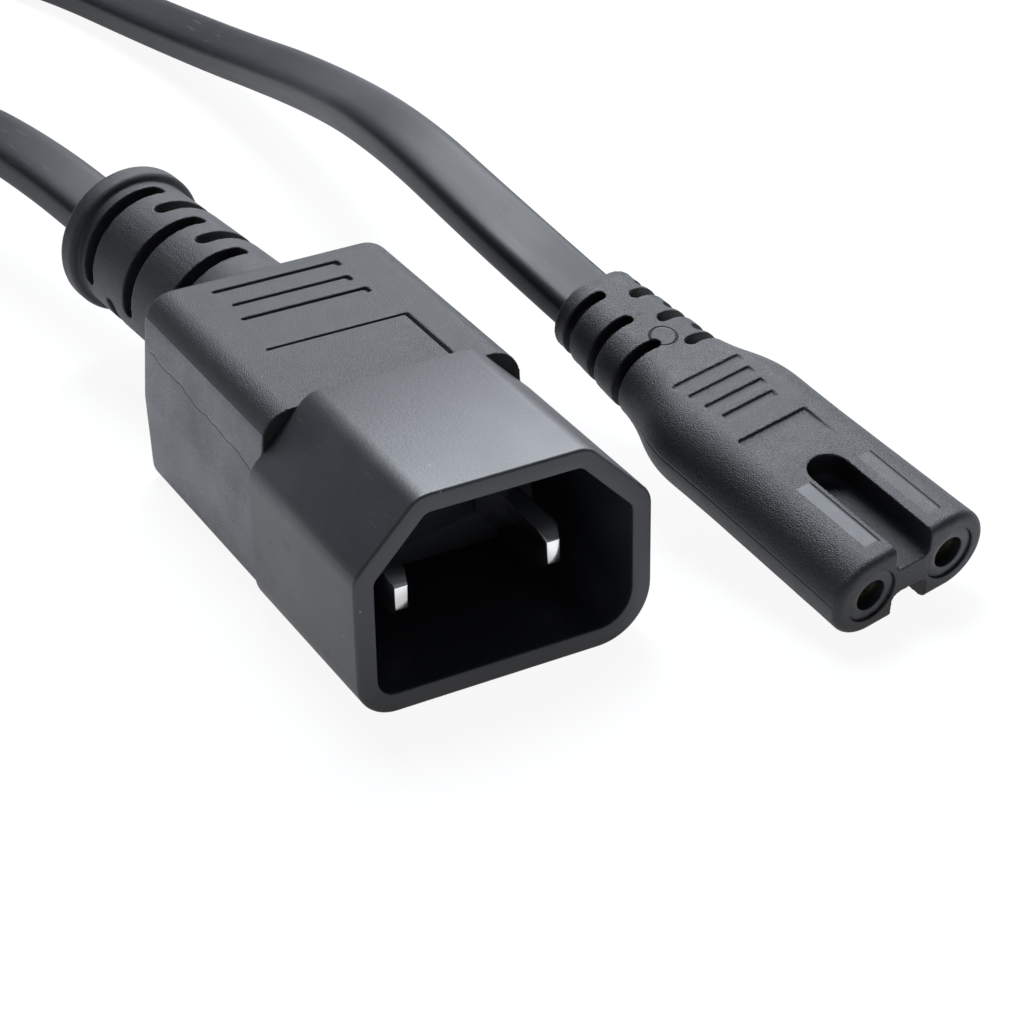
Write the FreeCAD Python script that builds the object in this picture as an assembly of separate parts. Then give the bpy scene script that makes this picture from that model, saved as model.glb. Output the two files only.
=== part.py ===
"""Moulded two-core lead: a figure-eight connector, a flat cord and a shrouded two-pin plug."""
import FreeCAD, Part
import math
import os

V = FreeCAD.Vector

# Figure-eight connector: lengths run back from its mouth face
socket_pitch = 8.6
socket_entry_radius = 1.48
socket_bore_radius = 1.2
socket_bore_length = 11.0
nose_width = 16.45
nose_height = 7.8
nose_edge_radius = 0.75
nose_taper_end = 17.0
groove_width = 3.8
groove_length = 12.5
groove_floor_radius = 0.8
web_thickness = 2.6
grip_width = 15.65
grip_height = 8.2
grip_end = 23.0
boot_start = 32.0
boot_width = 11.0
boot_height = 7.1
boot_end_width = 9.2
boot_end_height = 7.1
connector_length = 41.9
hull_stations = 20

# Bend of the connector's soft boot at its end, under the pull of the stiff cord
boot_lift = 0.86
boot_side = -0.26

# Slots in the connector's boot: arcs in degrees from the right-hand side, up over the top
connector_slot_count = 3
connector_slot_width = 1.05
connector_slot_pitch = 3.8
connector_slot_setback = 1.95
connector_slot_stagger = 1.55
connector_slot_wall = 0.45
connector_slots_back = ((108, 222), (290, 398))
connector_slots_front = ((-22, 64), (206, 284))

# Fine marks on the connector's upper face: distance back, left end, right end
grip_line_depth = 0.26
grip_line_length = 1.1
grip_lines = ((26.8, -3.9, 3.6), (24.9, -3.6, 3.2), (23.0, -3.3, 3.0), (21.2, -2.9, 2.7))
label_step_depth = 0.25
label_step_back = 17.85
label_step_length = 4.4
label_step_left = -3.95
label_step_right = 3.5

# Contacts in the connector and the carrier that holds them
contact_start = 1.6
contact_wall = 0.4
contact_floor = 1.4
crimp_bore_radius = 0.5
crimp_wall = 0.85
contact_crimp_length = 5.5
carrier_recess = 0.2
carrier_tube_wall = 0.9
carrier_tube_back = 1.0
carrier_bar_length = 4.0
carrier_bar_wall = 0.65

# Shrouded plug: lengths run back from the middle of its mouth's lower edge
shroud_width = 26.9
shroud_height = 19.2
shroud_length = 19.4
shroud_chamfer_width = 5.8
shroud_chamfer_height = 5.9
shroud_side_wall = 1.8
shroud_top_wall = 1.7
shroud_base = 2.5
shroud_left_radius = 3.4
shroud_right_radius = 5.0
shroud_upper_radius = 2.4
shroud_rim_radius = 0.3
mouth_upper_radius = 1.0
pin_pitch = 14.0
pin_centre_height = 7.1
pin_width = 2.0
pin_tall = 4.0
pin_setback = 4.8
pin_bevel = 1.2
pin_bevel_inset = 0.4
pin_bevel_drop = 0.9
pin_root = 3.1
pin_barrel_radius = 1.7
pin_barrel_length = 8.0
pin_crimp_depth = 5.0

# Plug's grip, lower than the shroud and widest at its parting line
plug_grip_length = 25.1
plug_grip_height = 18.1
plug_top_width = 23.7
plug_parting_width = 25.2
plug_parting_height = 8.5
plug_bottom_width = 24.6
plug_upper_radius = 2.8
plug_parting_radius = 6.0
plug_lower_radius = 1.6
plug_back_radius = 1.0

# Marks on the plug's grip: distance from its back face, left end, right end
grip_groove_width = 0.45
grip_groove_depth = 0.4
grip_groove_hook = 0.6
grip_grooves = ((2.9, -6.35, 5.8), (6.0, -5.85, 5.4), (8.8, -6.25, 5.8))
label_panel_depth = 0.25
label_panel_length = 10.4
label_panel_left = -6.75
label_panel_right = 6.7

# Plug's slotted boot, which the cord holds turned and lifted
plug_boot_height = 9.4
plug_boot_radius = 6.4
plug_boot_root_radius = 6.9
plug_boot_length = 25.2
plug_boot_root = 8.0
plug_boot_turn = 8.2
plug_boot_rise = 4.7
flange_radius = 7.2
flange_thickness = 2.4
flange_edge_radius = 0.7
plug_slot_count = 3
plug_slot_width = 1.5
plug_slot_depth = 2.0
plug_slot_pitch = 7.1
plug_slot_setback = 1.8
plug_slots_back = ((79, 186), (259, 366))
plug_slots_front = ((-32, 93), (198, 262))

# Flat two-core cord
cord_width = 6.8
cord_thickness = 3.7
cord_edge_radius = 1.5
connector_tail = 9.0
plug_tail = 9.0
core_radius = 1.1
core_pitch = 3.5
strand_radius = 0.47

# How the lead lies, seen from the plug's mouth: the light connector is tipped by its stiff cord
connector_mouth_x = 9.0
connector_mouth_y = 33.0
connector_heading = 8.85
connector_tilt = 10.2
connector_roll = 6.1
connector_run = 14.0
plug_run = 17.0
cord_bend_share = 0.45
cord_rest_height = 1.9
cord_route = (
    (-66.5, 24.2, 17.2),
    (-96.5, 28.8, 10.0),
    (-126.5, 29.2, 3.6),
    (-165.5, 21.8, cord_rest_height),
    (-185.5, 5.0, cord_rest_height),
    (-190.5, -20.0, cord_rest_height),
    (-178.5, -43.0, cord_rest_height),
    (-155.0, -52.0, cord_rest_height),
    (-132.0, -43.5, 2.4),
    (-120.5, -22.5, 6.4),
    (-105.1, -8.9, 11.9),
)

# Cutters reach this far past the surface they cut, and trims take this much
overshoot = 1.0
trim_length = 3.0
trim_block = 24.0

# Sizes that follow from those above
contact_radius = socket_bore_radius + contact_wall
contact_sleeve_end = contact_start + socket_bore_length + contact_floor
contact_barrel_radius = crimp_bore_radius + crimp_wall
carrier_tube_radius = contact_radius + carrier_tube_wall
carrier_tube_end = contact_sleeve_end + carrier_tube_back
carrier_end = carrier_tube_end + carrier_bar_length
carrier_bar_height = 2 * (contact_barrel_radius + carrier_bar_wall)
contact_end = carrier_end + contact_crimp_length
mouth_depth = shroud_length - shroud_base
pin_blade_end = shroud_length + pin_root
pin_barrel_end = pin_blade_end + pin_barrel_length
plug_body_end = shroud_length + plug_grip_length
forward = V(1, 0, 0)


def rod(start, end, radius):
    """Round bar between two points."""
    return Part.makeCylinder(radius, (end - start).Length, start, end - start)


def block(x0, x1, y0, y1, z0, z1):
    """Box between two corners."""
    return Part.makeBox(x1 - x0, y1 - y0, z1 - z0, V(x0, y0, z0))


def stadium(x, width, height, centre):
    """Outline across X with flat top and bottom and full-round sides."""
    side = V(0, width / 2, 0)
    flat = V(0, width / 2 - height / 2, 0)
    rise = V(0, 0, height / 2)
    middle = V(x, 0, 0) + centre
    return Part.Wire([
        Part.makeLine(middle - flat + rise, middle + flat + rise),
        Part.Arc(middle + flat + rise, middle + side, middle + flat - rise).toShape(),
        Part.makeLine(middle + flat - rise, middle - flat - rise),
        Part.Arc(middle - flat - rise, middle - side, middle - flat + rise).toShape(),
    ])


def rounded_outline(x, corners):
    """Closed outline across X through corners of (y, z, radius)."""
    edges = []
    joins = []
    for index, (y, z, radius) in enumerate(corners):
        here = V(x, y, z)
        before = V(x, *corners[index - 1][:2])
        after = V(x, *corners[(index + 1) % len(corners)][:2])
        to_before = (before - here).normalize()
        to_after = (after - here).normalize()
        half = to_before.getAngle(to_after) / 2
        reach = radius / math.tan(half)
        bisector = (to_before + to_after).normalize()
        middle = here + bisector * (radius / math.sin(half) - radius)
        joins.append((here + to_before * reach, middle, here + to_after * reach))
    for index, (start, middle, end) in enumerate(joins):
        edges.append(Part.Arc(start, middle, end).toShape())
        edges.append(Part.makeLine(end, joins[(index + 1) % len(joins)][0]))
    return Part.Wire(edges)


def prism(outline, length):
    """Solid drawn back along -X from an outline."""
    return Part.Face(outline).extrude(forward * -length)


def radial(angle):
    """Direction across X at an angle in degrees."""
    return V(0, math.cos(math.radians(angle)), math.sin(math.radians(angle)))


def ring_slot(x, width, radius, start, end):
    """Cutter for a slot about X between two angles, with round ends."""
    centre = V(x, 0, 0)
    near = V(x - width / 2, 0, 0)
    points = [near + radial(angle) * radius for angle in (start, (start + end) / 2, end)]
    outline = Part.Wire([
        Part.makeLine(near, points[0]),
        Part.Arc(*points).toShape(),
        Part.makeLine(points[2], near),
    ])
    cutter = Part.Face(outline).extrude(forward * width)
    for angle in (start, end):
        cutter = cutter.fuse(rod(centre, centre + radial(angle) * radius, width / 2))
    return cutter


def edges_at(shape, x):
    """Edges lying in one plane across X."""
    return [e for e in shape.Edges if all(abs(v.X - x) < 1e-4 for v in e.Vertexes)]


def blend(start, end, share):
    """Value part of the way from one size to another."""
    return start + (end - start) * share


def hull_size(x):
    """Width and height of the connector's outer form at a distance behind its face."""
    if x <= grip_end:
        share = min(x / nose_taper_end, 1.0)
        return blend(nose_width, grip_width, share), blend(nose_height, grip_height, share)
    if x <= boot_start:
        share = (1 - math.cos(math.pi * (x - grip_end) / (boot_start - grip_end))) / 2
        return blend(grip_width, boot_width, share), blend(grip_height, boot_height, share)
    share = (x - boot_start) / (connector_length - boot_start)
    return blend(boot_width, boot_end_width, share), blend(boot_height, boot_end_height, share)


def boot_bend(x):
    """Shift of the connector's bent boot at a distance behind its face."""
    share = max(0.0, x - grip_end) / (connector_length - grip_end)
    return V(0, boot_side, boot_lift) * share ** 2


def connector_hull():
    """Smooth outer form from the nose over the shoulders to the end of the boot."""
    stations = [connector_length * step / hull_stations for step in range(hull_stations + 1)]
    hull = Part.makeLoft([stadium(-x, *hull_size(x), boot_bend(x)) for x in stations], True, False)
    return hull.makeFillet(nose_edge_radius, edges_at(hull, 0.0))


def connector_grooves():
    """The two channels that part the nose into its lobes."""
    half = groove_width / 2
    floor = web_thickness / 2
    back = -groove_length + half
    straight = block(back, overshoot, -half, half, floor, grip_height)
    rounded = Part.makeCylinder(half, grip_height - floor, V(back, 0, floor))
    upper = straight.fuse(rounded).removeSplitter()
    sides = [e for e in upper.Edges if all(abs(v.Z - floor) < 1e-4 for v in e.Vertexes)]
    sides = [e for e in sides if any(v.X < overshoot - 1e-4 for v in e.Vertexes)]
    upper = upper.makeFillet(groove_floor_radius, sides)
    return [upper, upper.mirror(V(0, 0, 0), V(0, 0, 1))]


def connector_slots():
    """Staggered slots that let the connector's boot bend, down to a thin wall round the cord."""
    floor_width = cord_width + 2 * connector_slot_wall
    floor_height = cord_thickness + 2 * connector_slot_wall
    cutters = []
    for step in range(connector_slot_count):
        back = connector_length - connector_slot_setback - step * connector_slot_pitch
        front = back - connector_slot_stagger
        for x, arcs in ((back, connector_slots_back), (front, connector_slots_front)):
            core = prism(stadium(0, floor_width, floor_height, V(0, 0, 0)), connector_length)
            for start, end in arcs:
                cutter = ring_slot(-x, connector_slot_width, boot_width, start, end).cut(core)
                cutter.translate(boot_bend(x))
                cutters.append(cutter)
    return cutters


def upper_face(x):
    """Height of the connector's upper face at a distance behind its mouth."""
    return hull_size(x)[1] / 2 + boot_bend(x).z


def step_cutter(back, length, left, right, depth):
    """Cutter for a step that is deep at its back edge and runs out to the front."""
    front = back - length
    side = Part.makePolygon([
        V(-back, left, upper_face(back) - depth),
        V(-back, left, upper_face(back) + overshoot),
        V(-front, left, upper_face(front) + overshoot),
        V(-front, left, upper_face(front)),
        V(-back, left, upper_face(back) - depth),
    ])
    return Part.Face(side).extrude(V(0, right - left, 0))


def connector_marks():
    """Saw-tooth grip lines and the stepped label bed on the connector's upper face."""
    steps = [(x, grip_line_length, left, right, grip_line_depth) for x, left, right in grip_lines]
    steps.append((label_step_back, label_step_length, label_step_left, label_step_right, label_step_depth))
    return [step_cutter(*step) for step in steps]


def socket_contact(y):
    """Spring sleeve that takes a round pin, with a crimp barrel behind it."""
    sleeve = rod(V(-contact_sleeve_end, y, 0), V(-contact_start, y, 0), contact_radius)
    barrel = rod(V(-contact_end, y, 0), V(-contact_sleeve_end, y, 0), contact_barrel_radius)
    bore = rod(V(-contact_start - socket_bore_length, y, 0), V(-contact_start, y, 0), socket_bore_radius)
    crimp = rod(V(-contact_end, y, 0), V(-carrier_end, y, 0), crimp_bore_radius)
    return sleeve.fuse(barrel).cut(bore).cut(crimp).removeSplitter()


def contact_carrier():
    """Stiff insert: two tubes that show as rings in the mouth face, on one cross bar."""
    half = socket_pitch / 2
    side = half + carrier_bar_height / 2
    rise = carrier_bar_height / 2
    carrier = block(-carrier_end, -carrier_tube_end, -side, side, -rise, rise)
    for y in (-half, half):
        tube = rod(V(-carrier_tube_end, y, 0), V(-carrier_recess, y, 0), carrier_tube_radius)
        carrier = carrier.fuse(tube)
    for y in (-half, half):
        carrier = carrier.cut(rod(V(-contact_start, y, 0), V(-carrier_recess, y, 0), socket_entry_radius))
        carrier = carrier.cut(rod(V(-contact_sleeve_end, y, 0), V(-contact_start, y, 0), contact_radius))
        carrier = carrier.cut(rod(V(-carrier_end, y, 0), V(-contact_sleeve_end, y, 0), contact_barrel_radius))
    return carrier.removeSplitter()


def half_space(point, direction):
    """Large block that starts at a point and lies on the direction's side of it."""
    reach = trim_block / 2
    box = block(0, trim_block, -reach, reach, -reach, reach)
    box.Placement = FreeCAD.Placement(point, FreeCAD.Rotation(forward, direction))
    return box


def core_pair(start, end, start_side, end_side, along_start, crimp):
    """Insulation and bare strands of one core, from the cord's cut end to a crimp barrel."""
    first = start + start_side
    last = end + end_side
    spare = (last - first).normalize() * trim_length
    sleeve = rod(first - spare, last + spare, core_radius)
    wire = rod(first - spare, last + spare, strand_radius)
    for cutter in (half_space(start, along_start), half_space(end, forward)):
        sleeve = sleeve.cut(cutter)
        wire = wire.cut(cutter)
    tip = rod(last, last + forward * crimp, crimp_bore_radius)
    return sleeve.cut(wire), wire.fuse(tip).removeSplitter()


def shroud_outline():
    """Outer outline of the shroud, its upper corners cut off."""
    half = shroud_width / 2
    flat = half - shroud_chamfer_width
    shoulder = shroud_height - shroud_chamfer_height
    up = shroud_upper_radius
    return rounded_outline(0, (
        (-half, 0, shroud_left_radius), (half, 0, shroud_right_radius), (half, shoulder, up),
        (flat, shroud_height, up), (-flat, shroud_height, up), (-half, shoulder, up),
    ))


def mouth_outline():
    """Inner outline of the shroud: one wall inside the outer one, with a thicker roof."""
    half = shroud_width / 2 - shroud_side_wall
    top = shroud_height - shroud_top_wall
    slope = math.hypot(shroud_chamfer_width, shroud_chamfer_height)
    drop = shroud_side_wall * (slope - shroud_chamfer_height) / shroud_chamfer_width
    inset = shroud_top_wall * (slope - shroud_chamfer_width) / shroud_chamfer_height
    shoulder = shroud_height - shroud_chamfer_height - drop
    flat = shroud_width / 2 - shroud_chamfer_width - inset
    left = shroud_left_radius - shroud_side_wall
    right = shroud_right_radius - shroud_side_wall
    up = mouth_upper_radius
    return rounded_outline(0, (
        (-half, shroud_side_wall, left), (half, shroud_side_wall, right), (half, shoulder, up),
        (flat, top, up), (-flat, top, up), (-half, shoulder, up),
    ))


def plug_shroud(pins):
    """Stiff front shell with a chamfered mouth and the base that holds the pins."""
    shell = prism(shroud_outline(), shroud_length)
    shell = shell.makeFillet(shroud_rim_radius, edges_at(shell, 0.0))
    shell = shell.cut(prism(mouth_outline(), mouth_depth))
    for pin in pins:
        shell = shell.cut(pin)
    return shell


def blade_outline(x, y, inset, drop):
    """Rectangle across a pin's blade, drawn in at its sides and at its top and bottom."""
    side = pin_width / 2 - inset
    rise = pin_tall / 2 - drop
    z = pin_centre_height
    corners = ((-side, -rise), (side, -rise), (side, rise), (-side, rise), (-side, -rise))
    return Part.makePolygon([V(x, y + a, z + b) for a, b in corners])


def plug_pin(y):
    """Flat blade with a bevelled tip and a crimp barrel."""
    shoulder = pin_setback + pin_bevel
    front = blade_outline(-pin_setback, y, pin_bevel_inset, pin_bevel_drop)
    full = blade_outline(-shoulder, y, 0, 0)
    tip = Part.makeLoft([front, full], True, True)
    blade = Part.Face(full).extrude(forward * (shoulder - pin_blade_end))
    end = V(-pin_barrel_end, y, pin_centre_height)
    barrel = rod(end, end + forward * pin_barrel_length, pin_barrel_radius)
    crimp = rod(end, end + forward * pin_crimp_depth, crimp_bore_radius)
    return tip.fuse(blade).fuse(barrel).cut(crimp).removeSplitter()


def plug_boot():
    """Round slotted boot with its end flange, drawn back along -X from the origin."""
    neck_end = plug_boot_length - flange_thickness
    root = rod(V(plug_boot_root, 0, 0), V(0, 0, 0), plug_boot_root_radius)
    neck_reach = neck_end + flange_thickness / 2
    neck = Part.makeCone(plug_boot_root_radius, plug_boot_radius, neck_reach, V(0, 0, 0), -forward)
    flange = rod(V(-neck_end, 0, 0), V(-plug_boot_length, 0, 0), flange_radius)
    rims = edges_at(flange, -neck_end) + edges_at(flange, -plug_boot_length)
    boot = root.fuse(neck).fuse(flange.makeFillet(flange_edge_radius, rims))
    core = rod(V(0, 0, 0), V(-plug_boot_length, 0, 0), plug_boot_radius - plug_slot_depth)
    for step in range(plug_slot_count):
        back = -neck_end + plug_slot_setback + step * plug_slot_pitch
        rows = [(back, plug_slots_back)]
        if step < plug_slot_count - 1:
            rows.append((back + plug_slot_pitch / 2, plug_slots_front))
        for x, arcs in rows:
            for start, end in arcs:
                cutter = ring_slot(x, plug_slot_width, 2 * plug_boot_radius, start, end)
                boot = boot.cut(cutter.cut(core))
    return boot


def plug_body(boot):
    """Grip moulded onto the back of the shroud, with the boot run out of it."""
    top = plug_grip_height
    right = (
        (plug_bottom_width / 2, 0, plug_lower_radius),
        (plug_parting_width / 2, plug_parting_height, plug_parting_radius),
        (plug_top_width / 2, top, plug_upper_radius),
    )
    left = tuple((-y, z, radius) for y, z, radius in reversed(right))
    grip = prism(rounded_outline(-shroud_length, right + left), plug_grip_length)
    grip = grip.makeFillet(plug_back_radius, edges_at(grip, -plug_body_end))
    panel_end = -shroud_length - label_panel_length
    panel = block(panel_end, -shroud_length, label_panel_left, label_panel_right,
                  top - label_panel_depth, top + overshoot)
    grip = grip.cut(panel)
    width = grip_groove_width / 2
    for setback, start, end in grip_grooves:
        x = -plug_body_end + setback
        line = block(x - width, x + width, start, end, top - grip_groove_depth, top + overshoot)
        hook = block(x, x + width + grip_groove_hook, end - grip_groove_width, end,
                     top - grip_groove_depth, top + overshoot)
        grip = grip.cut(line.fuse(hook))
    return grip.fuse(boot).removeSplitter()


def cord_path(points):
    """Straight runs joined by tangent arcs, with the arcs' radii."""
    edges = []
    radii = []
    here = points[0]
    for index in range(1, len(points) - 1):
        corner = points[index]
        back = points[index - 1] - corner
        ahead = points[index + 1] - corner
        half = (math.pi - back.getAngle(ahead)) / 2
        reach = cord_bend_share * min(back.Length, ahead.Length)
        radius = reach / math.tan(half)
        to_back = back.normalize()
        to_ahead = ahead.normalize()
        start = corner + to_back * reach
        end = corner + to_ahead * reach
        middle = corner + (to_back + to_ahead).normalize() * (radius / math.cos(half) - radius)
        edges.append(Part.makeLine(here, start))
        edges.append(Part.Arc(start, middle, end).toShape())
        radii.append(radius)
        here = end
    edges.append(Part.makeLine(here, points[-1]))
    return Part.Wire(edges), radii


def cord_sheath(points):
    """Flat sheath swept along the cord's path with its broad side level."""
    path, radii = cord_path(points)
    side = cord_width / 2
    rise = cord_thickness / 2
    edge = cord_edge_radius
    section = rounded_outline(0, (
        (-side, -rise, edge), (side, -rise, edge), (side, rise, edge), (-side, rise, edge),
    ))
    heading = points[1] - points[0]
    level = V(heading.x, heading.y, 0)
    section.Placement = FreeCAD.Placement(points[0], FreeCAD.Rotation(forward, level))
    sweep = Part.BRepOffsetAPI.MakePipeShell(path)
    sweep.setBiNormalMode(V(0, 0, 1))
    sweep.add(section, False, False)
    sweep.build()
    sweep.makeSolid()
    print("cord arc radii mm:", [round(value, 1) for value in radii])
    print("cord length mm:", round(path.Length, 1))
    return sweep.shape()


def build_connector(cut_end, leave):
    """Solids of the connector in its own frame, outer form not yet hollowed."""
    half = socket_pitch / 2
    contacts = [socket_contact(y) for y in (-half, half)]
    crimp_end = V(-contact_end, 0, 0)
    cores = []
    for side in (-1, 1):
        near = V(0, side * core_pitch / 2, 0)
        far = V(0, side * half, 0)
        cores.append(core_pair(cut_end, crimp_end, near, far, leave, contact_crimp_length))
    body = connector_hull()
    for cutter in connector_grooves() + connector_slots() + connector_marks():
        body = body.cut(cutter)
    for y in (-half, half):
        body = body.cut(rod(V(-carrier_tube_end, y, 0), V(overshoot, y, 0), carrier_tube_radius))
    nodes = {
        "contact_carrier": contact_carrier(),
        "socket_contact_left": contacts[0],
        "socket_contact_right": contacts[1],
        "connector_core_left": cores[0][0],
        "connector_core_right": cores[1][0],
        "connector_strands_left": cores[0][1],
        "connector_strands_right": cores[1][1],
    }
    return body, nodes


def build_plug(boot_place, cut_end, leave):
    """Solids of the plug in its own frame, outer form not yet hollowed."""
    half = pin_pitch / 2
    pins = [plug_pin(y) for y in (-half, half)]
    boot = plug_boot()
    boot.Placement = boot_place
    across = boot_place.Rotation.multVec(V(0, 1, 0))
    crimp_end = V(-pin_barrel_end, 0, pin_centre_height)
    cores = []
    for side in (-1, 1):
        near = across * (side * core_pitch / 2)
        far = V(0, side * half, 0)
        cores.append(core_pair(cut_end, crimp_end, near, far, leave, pin_crimp_depth))
    nodes = {
        "plug_shroud": plug_shroud(pins),
        "plug_pin_left": pins[0],
        "plug_pin_right": pins[1],
        "plug_core_left": cores[0][0],
        "plug_core_right": cores[1][0],
        "plug_strands_left": cores[0][1],
        "plug_strands_right": cores[1][1],
    }
    return plug_body(boot), nodes


def hollowed(body, inner):
    """Moulding with the room its inserts take up removed."""
    for piece in inner:
        body = body.cut(piece)
    return body


def moved(shape, place):
    """Copy of a shape in another place."""
    copy = shape.copy()
    copy.Placement = place.multiply(copy.Placement)
    return copy


def build():
    """All solids of the lead, the connector's box standing on the origin."""
    slope = V(0, boot_side, boot_lift) * (2 / (connector_length - grip_end))
    connector_leave = (slope - forward).normalize()
    connector_cut = V(-connector_length, boot_side, boot_lift) - connector_leave * connector_tail
    body, inner = build_connector(connector_cut, connector_leave)

    boot_turn = FreeCAD.Rotation(plug_boot_turn, plug_boot_rise, 0)
    boot_place = FreeCAD.Placement(V(-plug_body_end, 0, plug_boot_height), boot_turn)
    plug_leave = boot_turn.multVec(forward * -1)
    plug_cut = boot_place.multVec(V(plug_tail - plug_boot_length, 0, 0))
    grip, plug_inner = build_plug(boot_place, plug_cut, plug_leave)

    turn = FreeCAD.Rotation(connector_heading, connector_tilt, connector_roll)
    lay = FreeCAD.Placement(V(connector_mouth_x, connector_mouth_y, 0), turn)
    lay.Base = lay.Base - V(0, 0, moved(body, lay).optimalBoundingBox().ZMin)
    first = lay.multVec(connector_cut)
    leave = turn.multVec(connector_leave)

    points = [first - leave * trim_length, first + leave * (connector_tail + connector_run)]
    points += [V(*point) for point in cord_route]
    points += [plug_cut + plug_leave * (plug_tail + plug_run), plug_cut - plug_leave * trim_length]
    sheath = cord_sheath(points)
    sheath = sheath.cut(half_space(first, leave * -1)).cut(half_space(plug_cut, plug_leave * -1))

    nodes = {name: moved(shape, lay) for name, shape in inner.items()}
    nodes["connector_body"] = hollowed(moved(body, lay), list(nodes.values()) + [sheath])
    nodes["plug_body"] = hollowed(grip, list(plug_inner.values()) + [sheath])
    nodes.update(plug_inner)
    nodes["cord_sheath"] = sheath
    box = nodes["connector_body"].optimalBoundingBox()
    shift = V(-box.Center.x, -box.Center.y, -box.ZMin)
    print("shift mm:", [round(value, 3) for value in shift])
    print("mouth mm:", [round(value, 3) for value in lay.Base])
    for shape in nodes.values():
        shape.translate(shift)
    return nodes


def main():
    os.makedirs("parts", exist_ok=True)
    for name, shape in build().items():
        if len(shape.Solids) == 1:
            shape = shape.Solids[0]
        shape.exportStep("parts/%s.step" % name)
        volume = round(shape.Volume, 1)
        print(name, "solids", len(shape.Solids), "valid", shape.isValid(), "volume mm3", volume)


main()
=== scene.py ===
import math

import bmesh
import bpy
from mathutils import Matrix, Vector


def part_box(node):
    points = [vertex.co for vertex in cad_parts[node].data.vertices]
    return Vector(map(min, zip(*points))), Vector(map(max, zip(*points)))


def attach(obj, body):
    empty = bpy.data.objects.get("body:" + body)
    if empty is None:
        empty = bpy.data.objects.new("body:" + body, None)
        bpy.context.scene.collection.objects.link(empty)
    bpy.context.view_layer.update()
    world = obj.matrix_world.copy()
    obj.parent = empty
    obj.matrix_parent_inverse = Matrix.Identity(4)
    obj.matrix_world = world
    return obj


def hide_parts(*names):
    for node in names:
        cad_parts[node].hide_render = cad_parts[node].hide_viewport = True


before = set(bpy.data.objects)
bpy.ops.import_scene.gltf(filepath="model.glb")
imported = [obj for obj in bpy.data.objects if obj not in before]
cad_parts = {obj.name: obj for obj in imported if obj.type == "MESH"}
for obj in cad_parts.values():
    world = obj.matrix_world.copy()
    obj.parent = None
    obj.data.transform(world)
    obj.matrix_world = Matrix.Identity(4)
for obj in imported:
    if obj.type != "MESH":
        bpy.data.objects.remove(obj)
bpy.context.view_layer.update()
scene = bpy.context.scene
scene.view_settings.view_transform = "Standard"


# The table is a sheet of matt white board, larger than the view.
# It shows as plain white to the camera and still takes the lead's soft shadow.
class Wire:
    """A shader value: Python's operators on it add Math nodes to its finish."""

    def __init__(self, finish, socket):
        self.finish = finish
        self.socket = socket

    def math(self, operation, *values):
        return self.finish.node("ShaderNodeMath", {"operation": operation}, dict(enumerate(values)))

    def __add__(self, other):
        return self.math("ADD", self, other)

    def __radd__(self, other):
        return self.math("ADD", other, self)

    def __sub__(self, other):
        return self.math("SUBTRACT", self, other)

    def __rsub__(self, other):
        return self.math("SUBTRACT", other, self)

    def __mul__(self, other):
        return self.math("MULTIPLY", self, other)

    def __rmul__(self, other):
        return self.math("MULTIPLY", other, self)

    def __pow__(self, other):
        return self.math("POWER", self, other)

    def __lt__(self, other):
        return self.math("LESS_THAN", self, other)

    def __gt__(self, other):
        return self.math("GREATER_THAN", self, other)

    def __abs__(self):
        return self.math("ABSOLUTE", self)

    def between(self, low, high):
        return (self > low) * (self < high)

    def ridge(self, centre, half_width):
        """One on a line, falling to nothing at half a width from it."""
        return self.math("MAXIMUM", 1.0 - abs(self - centre) * (1.0 / half_width), 0.0)


class Finish:
    """A material or a world: node() adds any node, and feed() sets or links a socket."""

    def __init__(self, owner):
        self.owner = owner
        owner.use_nodes = True
        self.tree = owner.node_tree

    def feed(self, socket, value):
        if isinstance(value, Wire):
            self.tree.links.new(value.socket, socket)
        else:
            socket.default_value = value

    def node(self, kind, settings, inputs, output=0):
        made = self.tree.nodes.new(kind)
        for name, value in settings.items():
            setattr(made, name, value)
        for name, value in inputs.items():
            self.feed(made.inputs[name], value)
        return Wire(self, made.outputs[output])

    def noise(self, place, scale, detail):
        return self.node("ShaderNodeTexNoise", {}, {"Vector": place, "Scale": scale, "Detail": detail})

    def blend(self, share, low, high):
        """Colour between two others."""
        return self.node("ShaderNodeMix", {"data_type": "RGBA"}, {0: share, 6: low, 7: high}, 2)

    def surface(self, inputs):
        shader = self.tree.nodes["Principled BSDF"]
        for name, value in inputs.items():
            self.feed(shader.inputs[name], value)


table_half = 3.0
table_colour = (0.86, 0.89, 0.94, 1.0)
table_glow = 0.92
table_sheen = 0.60
white = (1.0, 1.0, 1.0, 1.0)

table_corners = [(-1, -1), (1, -1), (1, 1), (-1, 1)]
table_points = [(x * table_half, y * table_half, 0.0) for x, y in table_corners]
table_mesh = bpy.data.meshes.new("table")
table_mesh.from_pydata(table_points, [], [(0, 1, 2, 3)])
table = bpy.data.objects.new("table", table_mesh)
scene.collection.objects.link(table)

board = Finish(bpy.data.materials.new("white_board"))
seen = board.node("ShaderNodeLightPath", {}, {}, "Is Camera Ray") * table_glow
for path in ("Is Glossy Ray", "Is Transmission Ray"):
    seen = seen + board.node("ShaderNodeLightPath", {}, {}, path) * table_sheen
matt = board.node("ShaderNodeBsdfDiffuse", {}, {"Color": table_colour})
glow = board.node("ShaderNodeEmission", {}, {"Color": white, "Strength": 1.0})
mixed = board.node("ShaderNodeMixShader", {}, {0: seen, 1: matt, 2: glow})
board.feed(board.tree.nodes["Material Output"].inputs["Surface"], mixed)
table_mesh.materials.append(board.owner)

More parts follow.
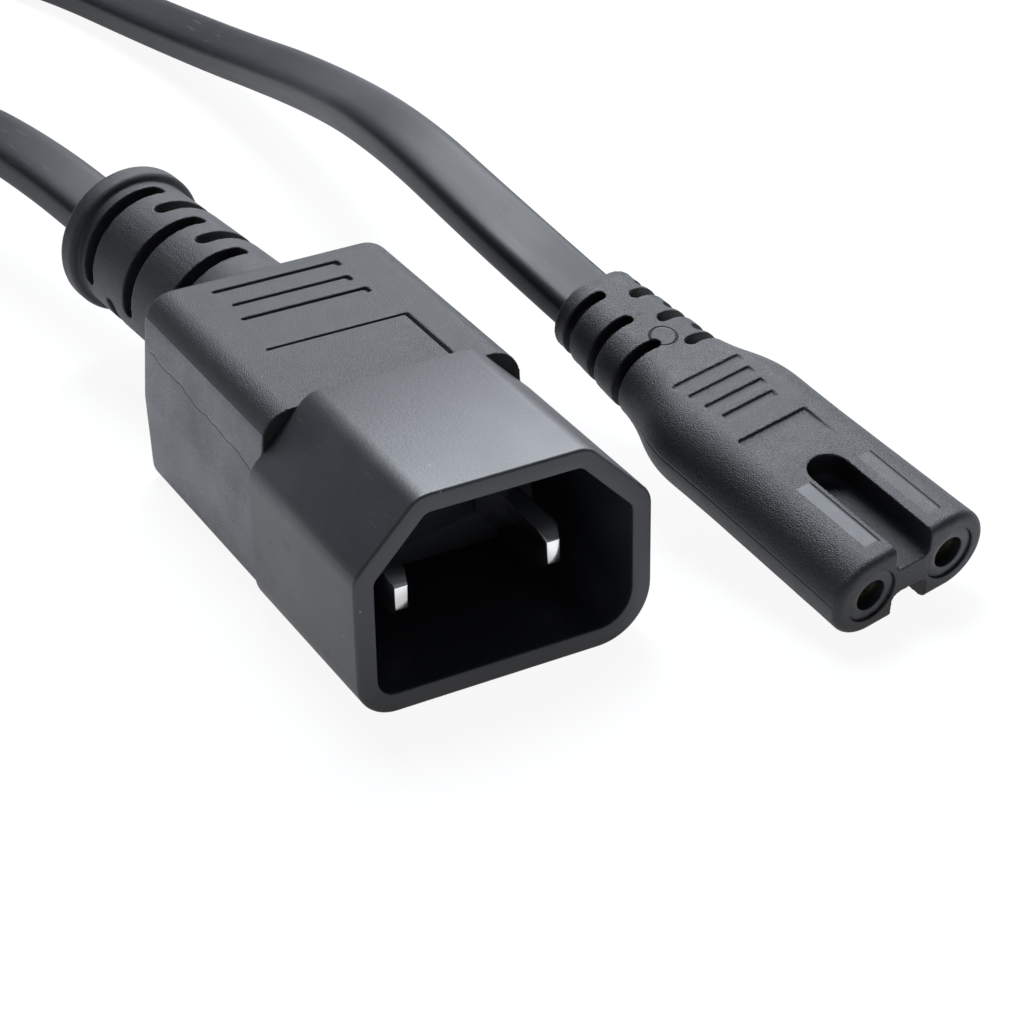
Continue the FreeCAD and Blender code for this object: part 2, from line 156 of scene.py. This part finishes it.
# The studio is one broad softbox behind the lead and one over it, in a dim cool room.
# The room shows white to the camera, as the table does.
shroud_low, shroud_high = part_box("plug_shroud")
plug_mouth = Vector((shroud_high.x, (shroud_low.y + shroud_high.y) / 2, 0.0))
view_turn = math.radians(61.687)
away = Vector((-math.sin(view_turn), math.cos(view_turn), 0.0))
across = Vector((math.cos(view_turn), math.sin(view_turn), 0.0))
softbox_aim = plug_mouth + Vector((-0.02, 0.016, 0.0))
softbox_colour = (0.88, 0.93, 1.0)
softboxes = (
    ("back_softbox", away * 0.57 + across * 0.15 + Vector((0.0, 0.0, 0.44)), 0.50, 5.2),
    ("top_softbox", across * -0.05 + away * 0.26 + Vector((0.0, 0.0, 0.58)), 0.24, 5.2),
)
for name, offset, size, power in softboxes:
    lamp = bpy.data.lights.new(name, "AREA")
    lamp.shape = "SQUARE"
    lamp.size = size
    lamp.energy = power
    lamp.color = softbox_colour
    softbox = bpy.data.objects.new(name, lamp)
    softbox.location = softbox_aim + offset
    softbox.rotation_euler = offset.to_track_quat("Z", "Y").to_euler()
    scene.collection.objects.link(softbox)

room_colour = (0.80, 0.89, 1.0, 1.0)
room_strength = 0.15
room = Finish(bpy.data.worlds.new("room"))
scene.world = room.owner
dim = room.node("ShaderNodeBackground", {}, {"Color": room_colour, "Strength": room_strength})
bright = room.node("ShaderNodeBackground", {}, {"Color": white, "Strength": 1.0})
to_camera = room.node("ShaderNodeLightPath", {}, {}, "Is Camera Ray")
walls = room.node("ShaderNodeMixShader", {}, {0: to_camera, 1: dim, 2: bright})
room.feed(room.tree.nodes["World Output"].inputs["Surface"], walls)

# The camera stands where the photographer did, in front of the plug's mouth and well above it.
camera_offset = Vector((0.18240, -0.09769, 0.14050))
camera_dip = 31.13
camera_tilt = -0.939
camera_data = bpy.data.cameras.new("camera")
camera_data.lens = 108.48
camera_data.sensor_width = 36.0
camera_data.clip_start = 0.01
camera = bpy.data.objects.new("camera", camera_data)
camera.location = plug_mouth + camera_offset
camera_turn = Matrix.Rotation(view_turn, 3, "Z")
camera_pitch = Matrix.Rotation(math.radians(90.0 - camera_dip), 3, "X")
camera_roll = Matrix.Rotation(math.radians(camera_tilt), 3, "Z")
camera.rotation_euler = (camera_turn @ camera_pitch @ camera_roll).to_euler()
scene.collection.objects.link(camera)
scene.camera = camera

# The cord is a flat two-core sheath of smooth matt PVC, drawn in one piece.
# It rises out of the connector's boot, lies in one loop on the table and runs into the plug's boot.
# Each point of its route has a lean in degrees, for the slight twist that the bends give it.
cord_width = 0.0065
cord_thickness = 0.0036
cord_squareness = 4.0
cord_sides = 48
cord_route = (
    (-0.0230, 0.0280, 0.0100, 6.0),
    (-0.0315, 0.0262, 0.0124, 5.0),
    (-0.0448, 0.0236, 0.0161, 2.0),
    (-0.0665, 0.0241, 0.0172, 3.0),
    (-0.0965, 0.0288, 0.0100, 10.0),
    (-0.1265, 0.0292, 0.0036, 6.0),
    (-0.1655, 0.0218, 0.0019, 0.0),
    (-0.1855, 0.0050, 0.0019, 0.0),
    (-0.1905, -0.0200, 0.0019, 0.0),
    (-0.1785, -0.0430, 0.0019, 0.0),
    (-0.1550, -0.0520, 0.0019, 0.0),
    (-0.1320, -0.0435, 0.0024, 0.0),
    (-0.1205, -0.0225, 0.0064, 0.0),
    (-0.1051, -0.0089, 0.0119, 0.0),
    (-0.0861, -0.0060, 0.0129, 0.0),
    (-0.0694, -0.0036, 0.0115, 0.0),
    (-0.0605, -0.0023, 0.0107, 0.0),
)


def route_line(route):
    """Points along a smooth NURBS line that has the route as its control points."""
    curve = bpy.data.curves.new("cord_route", "CURVE")
    curve.dimensions = "3D"
    curve.resolution_u = 24
    spline = curve.splines.new("NURBS")
    spline.points.add(len(route) - 1)
    for control, point in zip(spline.points, route):
        control.co = (*(plug_mouth + Vector(point[:3])), 1.0)
    spline.order_u = 3
    spline.use_endpoint_u = True
    guide = bpy.data.objects.new("cord_route", curve)
    scene.collection.objects.link(guide)
    line_mesh = bpy.data.meshes.new_from_object(guide.evaluated_get(bpy.context.evaluated_depsgraph_get()))
    line = [vertex.co.copy() for vertex in line_mesh.vertices]
    bpy.data.objects.remove(guide)
    bpy.data.meshes.remove(line_mesh)
    return line


def lean_at(share):
    """Lean of the sheath at a share of the way along its route, in radians."""
    spot = share * (len(cord_route) - 1)
    before = min(int(spot), len(cord_route) - 2)
    first, second = cord_route[before][3], cord_route[before + 1][3]
    return math.radians(first + (second - first) * (spot - before))


def squared(value):
    """Cosine or sine drawn out towards a flat-sided section."""
    return math.copysign(abs(value) ** (2 / cord_squareness), value)


def section(line, index):
    """Points of the sheath's flat section round one point of its line."""
    ahead = line[min(index + 1, len(line) - 1)] - line[max(index - 1, 0)]
    level = Vector((-ahead.y, ahead.x, 0.0)).normalized()
    upright = ahead.normalized().cross(level)
    lean = lean_at(index / (len(line) - 1))
    side = level * math.cos(lean) - upright * math.sin(lean)
    rise = upright * math.cos(lean) + level * math.sin(lean)
    points = []
    for step in range(cord_sides):
        angle = 2 * math.pi * step / cord_sides
        out = side * squared(math.cos(angle)) * cord_width / 2
        points.append(line[index] + out + rise * squared(math.sin(angle)) * cord_thickness / 2)
    return points


def flat_tube(line):
    """Flat sheath along a line, with its length and girth in metres as UV."""
    shape = bmesh.new()
    sheet = shape.loops.layers.uv.new("sheath")
    girth = 2 * (cord_width + cord_thickness)
    rings = [[shape.verts.new(point) for point in section(line, index)] for index in range(len(line))]
    lengths = [0.0]
    for index in range(1, len(line)):
        lengths.append(lengths[-1] + (line[index] - line[index - 1]).length)
    for index in range(len(line) - 1):
        for step in range(cord_sides):
            turn = (step + 1) % cord_sides
            near, far = rings[index], rings[index + 1]
            face = shape.faces.new((near[step], near[turn], far[turn], far[step]))
            face.smooth = True
            places = ((index, step), (index, step + 1), (index + 1, step + 1), (index + 1, step))
            for loop, (along, around) in zip(face.loops, places):
                loop[sheet].uv = (lengths[along], girth * around / cord_sides)
    shape.faces.new(rings[0])
    shape.faces.new(rings[-1])
    bmesh.ops.recalc_face_normals(shape, faces=shape.faces)
    mesh = bpy.data.meshes.new("cord")
    shape.to_mesh(mesh)
    shape.free()
    return mesh


cord_line = route_line(cord_route)
cord = bpy.data.objects.new("cord", flat_tube(cord_line))
scene.collection.objects.link(cord)

sheath = Finish(bpy.data.materials.new("cord_sheath_black"))
along_cord = sheath.node("ShaderNodeUVMap", {"uv_map": "sheath"}, {})
drawn = sheath.node("ShaderNodeMapping", {}, {"Vector": along_cord, "Scale": (90.0, 1400.0, 1.0)})
drag = sheath.noise(drawn, 1.0, 3.0)
cord_place = sheath.node("ShaderNodeTexCoord", {}, {}, "Object")
cord_grain = sheath.noise(cord_place, 4200.0, 2.0)
cloud = sheath.noise(cord_place, 160.0, 3.0)
slanted = sheath.node("ShaderNodeMapping", {}, {
    "Vector": along_cord, "Rotation": (0.0, 0.0, math.radians(28.0)), "Scale": (260.0, 5200.0, 1.0)})
scuff = sheath.noise(slanted, 1.0, 1.0) > 0.68
patch = sheath.noise(cord_place, 90.0, 1.0) > 0.54
rub = scuff * patch
sheath.surface({
    "Base Color": sheath.blend(
        rub * 0.5, sheath.blend(cloud, (0.008, 0.0085, 0.0095, 1.0), (0.013, 0.0135, 0.015, 1.0)),
        (0.050, 0.050, 0.052, 1.0)),
    "Roughness": 0.38 + drag * 0.12 + rub * 0.1,
    "Specular IOR Level": 0.25,
    "Normal": sheath.node("ShaderNodeBump", {}, {
        "Height": drag * 0.4 + cord_grain * 0.5, "Strength": 0.35, "Distance": 0.00005}),
})
cord.data.materials.append(sheath.owner)

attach(cord, "root")
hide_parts("cord_sheath")

# Inside each moulding the cord's two insulated cores run to crimp barrels, and in the connector
# those barrels are the tails of spring brass sleeves. None of it shows from outside.
inner_finishes = (
    ("socket_contact", "spring_brass", (0.72, 0.60, 0.36, 1.0), 1.0, 0.30),
    ("core_left", "core_skin_light", (0.70, 0.70, 0.67, 1.0), 0.0, 0.45),
    ("core_right", "core_skin_dark", (0.03, 0.03, 0.03, 1.0), 0.0, 0.45),
    ("strands", "bare_copper", (0.72, 0.42, 0.28, 1.0), 1.0, 0.35),
)
for key, name, colour, metal, gloss in inner_finishes:
    inner = Finish(bpy.data.materials.new(name))
    inner_place = inner.node("ShaderNodeTexCoord", {}, {}, "Object")
    handling = inner.noise(inner_place, 900.0, 3.0)
    dull = tuple(channel * 0.8 for channel in colour[:3]) + (1.0,)
    inner.surface({
        "Base Color": inner.blend(handling, dull, colour),
        "Metallic": metal,
        "Roughness": gloss + handling * 0.14,
    })
    for node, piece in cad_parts.items():
        if key in node:
            piece.data.materials.clear()
            piece.data.materials.append(inner.owner)


# The carrier is a stiff black insert that holds both contacts in line.
# Its two tubes show as rings round the holes in the connector's mouth face.
def eased(node, radius):
    """Copy of a CAD solid with its sharp edges rounded."""
    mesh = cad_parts[node].data.copy()
    shape = bmesh.new()
    shape.from_mesh(mesh)
    bmesh.ops.remove_doubles(shape, verts=shape.verts, dist=1e-6)
    bmesh.ops.dissolve_limit(shape, angle_limit=math.radians(0.5), verts=shape.verts, edges=shape.edges)
    for face in shape.faces:
        face.smooth = True
    shape.to_mesh(mesh)
    shape.free()
    mesh.materials.clear()
    piece = bpy.data.objects.new(node + "_piece", mesh)
    scene.collection.objects.link(piece)
    bevel = piece.modifiers.new("edge", "BEVEL")
    bevel.width = radius
    bevel.segments = 2
    bevel.limit_method = "ANGLE"
    bevel.angle_limit = math.radians(40.0)
    bevel.use_clamp_overlap = False
    return piece


insert = Finish(bpy.data.materials.new("carrier_satin"))
insert_place = insert.node("ShaderNodeTexCoord", {}, {}, "Object")
insert_grain = insert.noise(insert_place, 3000.0, 3.0)
insert.surface({
    "Base Color": insert.blend(insert_grain, (0.010, 0.0105, 0.012, 1.0), (0.016, 0.017, 0.019, 1.0)),
    "Roughness": 0.36 + insert_grain * 0.12,
    "Normal": insert.node("ShaderNodeBump", {}, {
        "Height": insert_grain, "Strength": 0.25, "Distance": 0.00003}),
})
carrier = eased("contact_carrier", 0.00008)
carrier.data.materials.append(insert.owner)
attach(carrier, "root")
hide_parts("contact_carrier")


# The connector is soft black PVC, moulded over the carrier and the cord in a spark-eroded mould,
# so its edges are slightly round and its skin has a fine even grain. Mould insert lines run along
# its lobes, a smooth parting band along its sides, and a round ejector mark sits on its boot.
# The lines and the ejector ring are painted near black as painted shade, and the smooth strips and band
# lighter as painted highlight.
def moulded(node, voxel, kept):
    """Copy of a CAD solid as one skin, its sharp edges softened as a mould leaves them."""
    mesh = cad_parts[node].data.copy()
    shape = bmesh.new()
    shape.from_mesh(mesh)
    bmesh.ops.remove_doubles(shape, verts=shape.verts, dist=1e-6)
    shape.to_mesh(mesh)
    shape.free()
    rough = bpy.data.objects.new(node + "_rough", mesh)
    scene.collection.objects.link(rough)
    remesh = rough.modifiers.new("skin", "REMESH")
    remesh.mode = "VOXEL"
    remesh.voxel_size = voxel
    remesh.use_smooth_shade = True
    ease = rough.modifiers.new("ease", "SMOOTH")
    ease.factor = 0.5
    ease.iterations = 2
    thin = rough.modifiers.new("thin", "DECIMATE")
    thin.ratio = kept
    done = bpy.data.meshes.new_from_object(rough.evaluated_get(bpy.context.evaluated_depsgraph_get()))
    bpy.data.objects.remove(rough)
    done.name = node + "_moulding"
    done.materials.clear()
    piece = bpy.data.objects.new(node + "_moulding", done)
    scene.collection.objects.link(piece)
    return piece


def soft_black(finish, place, flat, shaded_groove, painted_sheen):
    """Grained soft PVC: flat is where the mould was smooth, painted lighter there as painted highlight; the
    next mask a cut line, painted near black as painted shade; the last a pale speckled skin painted on as
    painted reflection of the table.
    """
    grain = finish.noise(place, 9500.0, 2.0)
    swell = finish.noise(place, 900.0, 2.0)
    tone = finish.noise(place, 140.0, 4.0)
    skin = finish.blend(tone, (0.008, 0.008, 0.0095, 1.0), (0.013, 0.0135, 0.015, 1.0))
    # Where the mould was smooth the skin is painted lighter, as painted highlight.
    skin = finish.blend(flat * 0.7, skin, (0.055, 0.057, 0.060, 1.0))
    # Where the last mask is set, a pale speckled skin is painted on as painted reflection of the table.
    skin = finish.blend(tone * grain * painted_sheen, skin, (0.50, 0.49, 0.49, 1.0))
    # Cut lines are painted near black, as painted shade in them.
    skin = finish.blend(shaded_groove * 0.8, skin, (0.003, 0.003, 0.004, 1.0))
    relief = (grain + swell * 0.1) * (1.0 - flat * 0.8) - shaded_groove * 3.0
    finish.surface({
        "Base Color": skin,
        "Roughness": 0.43 + swell * 0.10,
        "Specular IOR Level": 0.45,
        "Normal": finish.node("ShaderNodeBump", {}, {"Height": relief, "Strength": 0.8, "Distance": 0.0001}),
    })


def own_axes(finish, place, origin, turn):
    """Millimetres along a piece's own axes, from its origin."""
    local = finish.node("ShaderNodeMapping", {"vector_type": "TEXTURE"}, {
        "Vector": place, "Location": origin, "Rotation": turn, "Scale": (0.001, 0.001, 0.001)})
    return [finish.node("ShaderNodeSeparateXYZ", {}, {0: local}, axis) for axis in ("X", "Y", "Z")]


connector_mouth = plug_mouth + Vector((0.0090, 0.0330, 0.004173))
connector_turn = tuple(math.radians(angle) for angle in (6.1, 10.2, 8.85))
strip_back = -10.4
strip_front = -1.9
strip_line_front = -1.7
strip_line_half = 0.14
flank_side = 4.0
flank_back = -27.0
flank_front = -0.6
band_low = -1.3
band_high = 0.5
band_line_half = 0.16
ejector_back = 32.6
ejector_radius = 1.2
connector = moulded("connector_body", 0.00010, 0.23)
pvc = Finish(bpy.data.materials.new("connector_pvc"))
pvc_place = pvc.node("ShaderNodeTexCoord", {}, {}, "Object")
along, beside, above = own_axes(pvc, pvc_place, connector_mouth, connector_turn)
on_top = above > 2.0
strips = beside.between(-3.9, -2.5) + beside.between(2.9, 4.25) * 0.4
lobe_flats = strips * along.between(strip_back, strip_front) * on_top
strip_lines = beside.ridge(-2.45, strip_line_half) + beside.ridge(4.25, strip_line_half)
lobe_lines = strip_lines * along.between(strip_back, strip_line_front) * on_top
on_flank = (abs(beside) > flank_side) * along.between(flank_back, flank_front)
side_band = above.between(band_low, band_high) * on_flank
side_line = above.ridge(band_high, band_line_half) * on_flank
ejector_spot = ((along + ejector_back) ** 2.0 + beside ** 2.0) ** 0.5
ejector_ring = ejector_spot.ridge(ejector_radius, 0.16) * on_top
# These cut lines and the ejector ring are painted near black in the skin, as painted shade.
shaded_cut_lines = lobe_lines * 0.5 + side_line * 0.3 + ejector_ring * 0.5
soft_black(pvc, pvc_place, lobe_flats + side_band * 0.5, shaded_cut_lines, 0.0)
connector.data.materials.append(pvc.owner)
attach(connector, "root")
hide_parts("connector_body")

# The pins are stamped brass blades with a bright nickel plate, bevelled at the tip.
# The shroud's base is moulded round them, and they stand inside its mouth.
nickel = Finish(bpy.data.materials.new("nickel_plate"))
pin_place = nickel.node("ShaderNodeTexCoord", {}, {}, "Object")
pin_drag = nickel.node("ShaderNodeMapping", {}, {"Vector": pin_place, "Scale": (300.0, 4000.0, 4000.0)})
pin_lines = nickel.noise(pin_drag, 1.0, 2.0)
nickel.surface({
    "Base Color": nickel.blend(pin_lines, (0.80, 0.79, 0.77, 1.0), (0.92, 0.91, 0.89, 1.0)),
    "Metallic": 1.0,
    "Roughness": 0.10 + pin_lines * 0.12,
})
pins = []
for side in ("left", "right"):
    pin = eased("plug_pin_" + side, 0.0001)
    pin.data.materials.append(nickel.owner)
    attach(pin, "root")
    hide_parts("plug_pin_" + side)
    pins.append(pin)

# The shroud is the plug's stiff front shell, moulded in hard black plastic round the pins.
# Its skin is satin, with fine rubbed scratches and a little dust on top, and the inside of its mouth is
# painted darker, as painted shade.
mouth_lip = 0.3
mouth_half = 12.5
mouth_floor = 0.9
mouth_roof = 18.3
mouth_slant = 18.0
hard = Finish(bpy.data.materials.new("shroud_satin"))
hard_place = hard.node("ShaderNodeTexCoord", {}, {}, "Object")
hard_grain = hard.noise(hard_place, 4200.0, 3.0)
hard_cloud = hard.noise(hard_place, 200.0, 4.0)
depth, aside, rise = own_axes(hard, hard_place, plug_mouth, (0.0, 0.0, 0.0))
slant = abs(aside) * 0.713 + rise * 0.701
# The inside of the mouth is painted darker, as painted shade.
mouth_painted_shade = (abs(aside) < mouth_half) * rise.between(mouth_floor, mouth_roof) * (slant < mouth_slant)
mouth_painted_shade = mouth_painted_shade * (depth < -mouth_lip)
rubbed = hard.node("ShaderNodeMapping", {}, {
    "Vector": hard_place, "Rotation": (0.0, 0.0, math.radians(35.0)), "Scale": (420.0, 7000.0, 900.0)})
scratches = (hard.noise(rubbed, 1.0, 2.0) > 0.64) * (hard.noise(hard_place, 160.0, 2.0) > 0.52)
dust = hard.node("ShaderNodeTexVoronoi", {}, {"Vector": hard_place, "Scale": 300.0}) < 0.03
hard_shade = hard.blend(hard_cloud, (0.016, 0.0165, 0.0185, 1.0), (0.024, 0.0245, 0.027, 1.0))
hard_shade = hard.blend(scratches * 0.2, hard_shade, (0.06, 0.06, 0.062, 1.0))
hard_shade = hard.blend(dust * 0.4, hard_shade, (0.30, 0.30, 0.30, 1.0))
hard.surface({
    "Base Color": hard.blend(mouth_painted_shade, hard_shade, (0.010, 0.011, 0.015, 1.0)),
    "Roughness": 0.42 + hard_cloud * 0.12 + scratches * 0.06,
    "Specular IOR Level": 0.68,
    "Normal": hard.node("ShaderNodeBump", {}, {"Height": hard_grain, "Strength": 0.4, "Distance": 0.00005}),
})
shroud = eased("plug_shroud", 0.00012)
shroud.data.materials.append(hard.owner)
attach(shroud, "root")
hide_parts("plug_shroud")

# The plug's grip and slotted boot are the same soft PVC, moulded onto the shroud's back and the cord.
# A wavy flash line runs along its sides, where the two mould halves met, and the side towards the camera
# is painted pale in speckles, as painted reflection of the white table. A cut line frames the bare label
# panel on its top, at the back and one side.
grip = moulded("plug_body", 0.00013, 0.26)
panel_top = 0.0181
panel_depth = 0.00025
panel_back = -0.0298
panel_front = -0.0194
panel_left = -0.00675
panel_right = 0.0067
panel_line = 0.00045
line_depth = 0.00022
panel_edge = 0.00015


def on_panel(spot):
    """Whether a place, from the plug's mouth, is on the label panel."""
    inside = panel_back - panel_edge < spot.x < panel_front + panel_edge
    inside = inside and panel_left - panel_edge < spot.y < panel_right + panel_edge
    return inside and -panel_edge / 2 < panel_top - spot.z < 2 * panel_depth


def score(shape, place, normal):
    """Add an edge to the panel's faces where a plane crosses them."""
    faces = [face for face in shape.faces if on_panel(face.calc_center_median() - plug_mouth)]
    edges = {edge for face in faces for edge in face.edges}
    points = {point for face in faces for point in face.verts}
    bmesh.ops.bisect_plane(shape, geom=[*points, *edges, *faces], dist=1e-6, plane_co=place, plane_no=normal)


panel = bmesh.new()
panel.from_mesh(grip.data)
for inset in (panel_line, panel_line + panel_edge):
    score(panel, plug_mouth + Vector((panel_back + inset, 0.0, 0.0)), (1.0, 0.0, 0.0))
    score(panel, plug_mouth + Vector((0.0, panel_right - inset, 0.0)), (0.0, 1.0, 0.0))
for vertex in panel.verts:
    spot = vertex.co - plug_mouth
    on_line = spot.x < panel_back + 0.9 * panel_line or spot.y > panel_right - 0.9 * panel_line
    if on_panel(spot) and not on_line:
        vertex.co.z = plug_mouth.z + panel_top
    elif on_panel(spot) and panel_top - spot.z > panel_depth / 2:
        vertex.co.z -= line_depth
panel.to_mesh(grip.data)
panel.free()
flash_level = 12.2
flash_fall = 0.06
flash_middle = 34.0
flash_half = 0.14
flash_side = 11.0
flash_back = -42.5
sheen_side = -11.9
sheen_back = -44.0
sheen_front = -17.5
grip_pvc = Finish(bpy.data.materials.new("plug_pvc"))
grip_place = grip_pvc.node("ShaderNodeTexCoord", {}, {}, "Object")
from_mouth, sideways, height = own_axes(grip_pvc, grip_place, plug_mouth, (0.0, 0.0, 0.0))
wave = grip_pvc.noise(grip_place, 300.0, 3.0) * 1.6
flash_height = height - wave + (from_mouth + flash_middle) * flash_fall
flash = flash_height.ridge(flash_level, flash_half) * (abs(sideways) > flash_side) * (from_mouth > flash_back)
# The side towards the camera is painted pale in speckles, as painted reflection of the white table.
grip_painted_sheen = (sideways < sheen_side) * from_mouth.between(sheen_back, sheen_front)
# The flash line is painted a little lighter and darker along it, as painted highlight and painted shade.
soft_black(grip_pvc, grip_place, flash * 0.2, flash * 0.35, grip_painted_sheen)
grip.data.materials.append(grip_pvc.owner)
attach(grip, "root")
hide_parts("plug_body")

# The plug's pieces, from its grip to its inner cord ends, are gathered in one list.
inner_ends = ("plug_core", "plug_strands")
on_plug_end = [grip, shroud] + pins
on_plug_end += [piece for name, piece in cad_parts.items() if name.startswith(inner_ends)]
